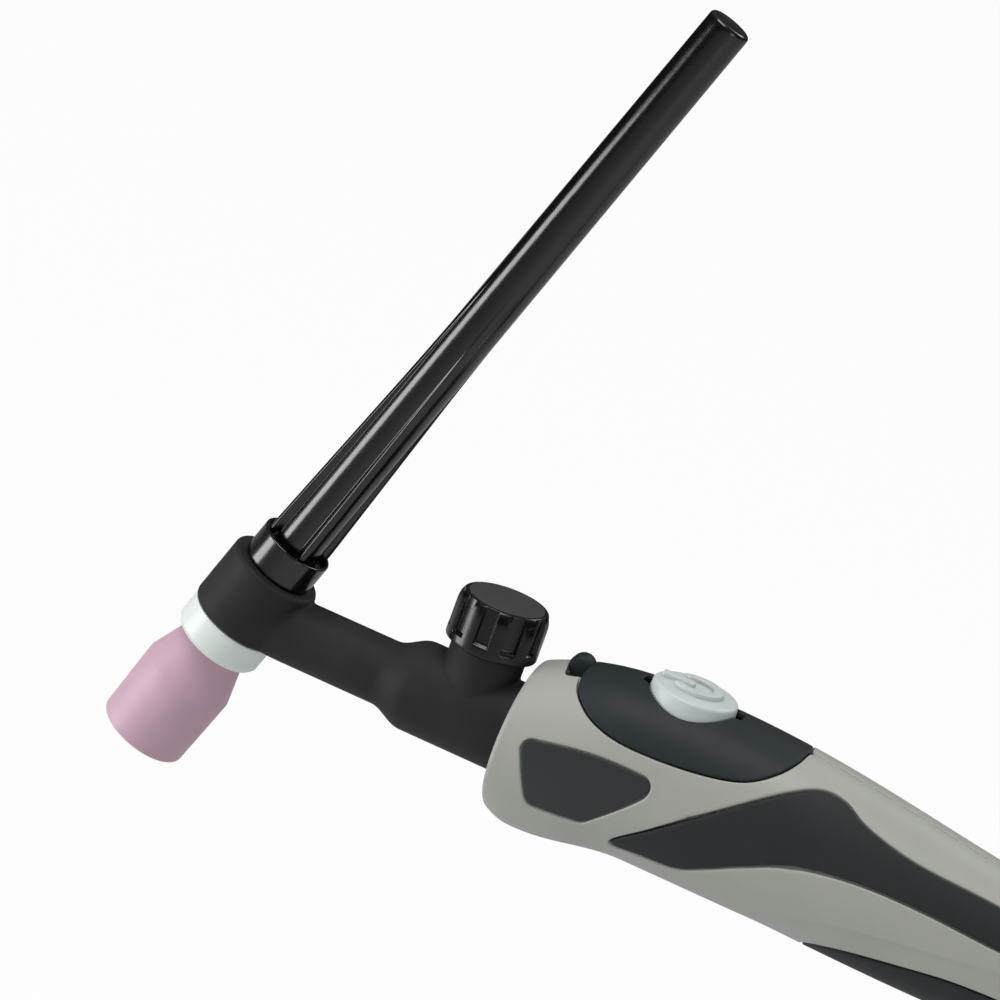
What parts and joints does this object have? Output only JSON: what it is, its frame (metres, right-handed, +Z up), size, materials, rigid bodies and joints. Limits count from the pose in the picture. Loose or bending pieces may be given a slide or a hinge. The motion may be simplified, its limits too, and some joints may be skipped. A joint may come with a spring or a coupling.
{
  "type": "tig welding torch",
  "caption": "TIG welding torch with an angled head, ceramic gas cup, long back cap, gas valve knob and a grip handle with a round push button.",
  "frame": {"origin": "centre of the cable inlet's mouth at the rear of the handle", "axes": "+X out of the cable inlet along the common axis of neck and handle, with the head towards -X; +Z up through the valve knob; +Y to the torch's right as it is held"},
  "size_m": [0.2299, 0.0312, 0.1807],
  "materials": {
    "shell": "fine satin texture",
    "grip": "soft matte",
    "badge": "satin",
    "inlay": "satin",
    "switch_plastic": "moulded",
    "plunger": "moulded",
    "button": "satin",
    "body_rubber": "matte silicone",
    "knob": "moulded gloss",
    "knob_disc": "fine matte",
    "back_cap": "polished phenolic",
    "gasket": "smooth",
    "cup": "unglazed alumina",
    "brass": "machined",
    "copper": "drawn copper",
    "plated_steel": "zinc plated",
    "tungsten": "centreless ground",
    "o_ring": "matte"
  },
  "bodies": {
    "handle": {"handle_shell_left": "shell", "handle_shell_right": "shell", "side_grip_left": "grip", "side_grip_right": "grip", "badge_left": "badge", "badge_right": "badge", "underside_grip": "grip", "switch_panel": "inlay", "switch_housing": "switch_plastic", "microswitch": "switch_plastic", "microswitch_terminals": "plated_steel", "cable_inlet_collar": "inlay", "handle_screws": "plated_steel", "torch_body": "body_rubber", "head_core": "brass", "power_tube": "copper", "water_tube": "copper", "gas_tube_front": "copper", "gas_tube_rear": "copper", "power_cable_fitting": "brass", "water_hose_barb": "brass", "gas_hose_barb": "brass", "valve_block": "brass", "valve_gland_nut": "brass", "collet_body": "copper", "collet": "copper", "button_spring": "plated_steel"},
    "button": {"trigger_button": "button", "microswitch_plunger": "plunger"},
    "valve_lift": {"valve_stem_o_ring": "o_ring"},
    "valve_knob": {"valve_stem": "brass", "valve_knob": "knob", "knob_screw": "plated_steel", "knob_cap_disc": "knob_disc"},
    "cap_lift": {"back_cap_o_ring": "o_ring"},
    "back_cap": {"back_cap": "back_cap"},
    "cup_lift": {"cup_gasket": "gasket"},
    "gas_cup": {"gas_cup": "cup"},
    "electrode": {"electrode": "tungsten"}
  },
  "joints": [
    {"name": "button_press", "type": "slide", "parent": "handle", "child": "button", "axis": [0, 0, -1], "range_m": [0, 0.0015], "stiffness_N_per_m": 500, "springref_m": -0.004, "deforming": ["button_spring"]},
    {"name": "valve_rise", "type": "slide", "parent": "handle", "child": "valve_lift", "axis": [0, 0, 1], "range_m": [0, 0.00165]},
    {"name": "valve_turn", "type": "hinge", "parent": "valve_lift", "child": "valve_knob", "pos_m": [-0.1594, 0, 0], "axis": [0, 0, 1], "range_deg": [0, 720]},
    {"name": "cap_rise", "type": "slide", "parent": "handle", "child": "cap_lift", "axis": [0.342, 0, 0.9397], "range_m": [0, 0.0054]},
    {"name": "cap_turn", "type": "hinge", "parent": "cap_lift", "child": "back_cap", "pos_m": [-0.2093, 0, 0], "axis": [0.342, 0, 0.9397], "range_deg": [0, 1800]},
    {"name": "cup_drop", "type": "slide", "parent": "handle", "child": "cup_lift", "axis": [-0.342, 0, -0.9397], "range_m": [0, 0.0057]},
    {"name": "cup_turn", "type": "hinge", "parent": "cup_lift", "child": "gas_cup", "pos_m": [-0.2093, 0, 0], "axis": [-0.342, 0, -0.9397], "range_deg": [0, 1440]},
    {"name": "electrode_feed", "type": "slide", "parent": "handle", "child": "electrode", "axis": [-0.342, 0, -0.9397], "range_m": [-0.004, 0.008]}
  ],
  "couplings": [
    {"joint": "valve_rise", "follows": "valve_turn", "m_per_rad": 0.00012732},
    {"joint": "cap_rise", "follows": "cap_turn", "m_per_rad": 0.0001687},
    {"joint": "cup_drop", "follows": "cup_turn", "m_per_rad": 0.00022282}
  ]
}
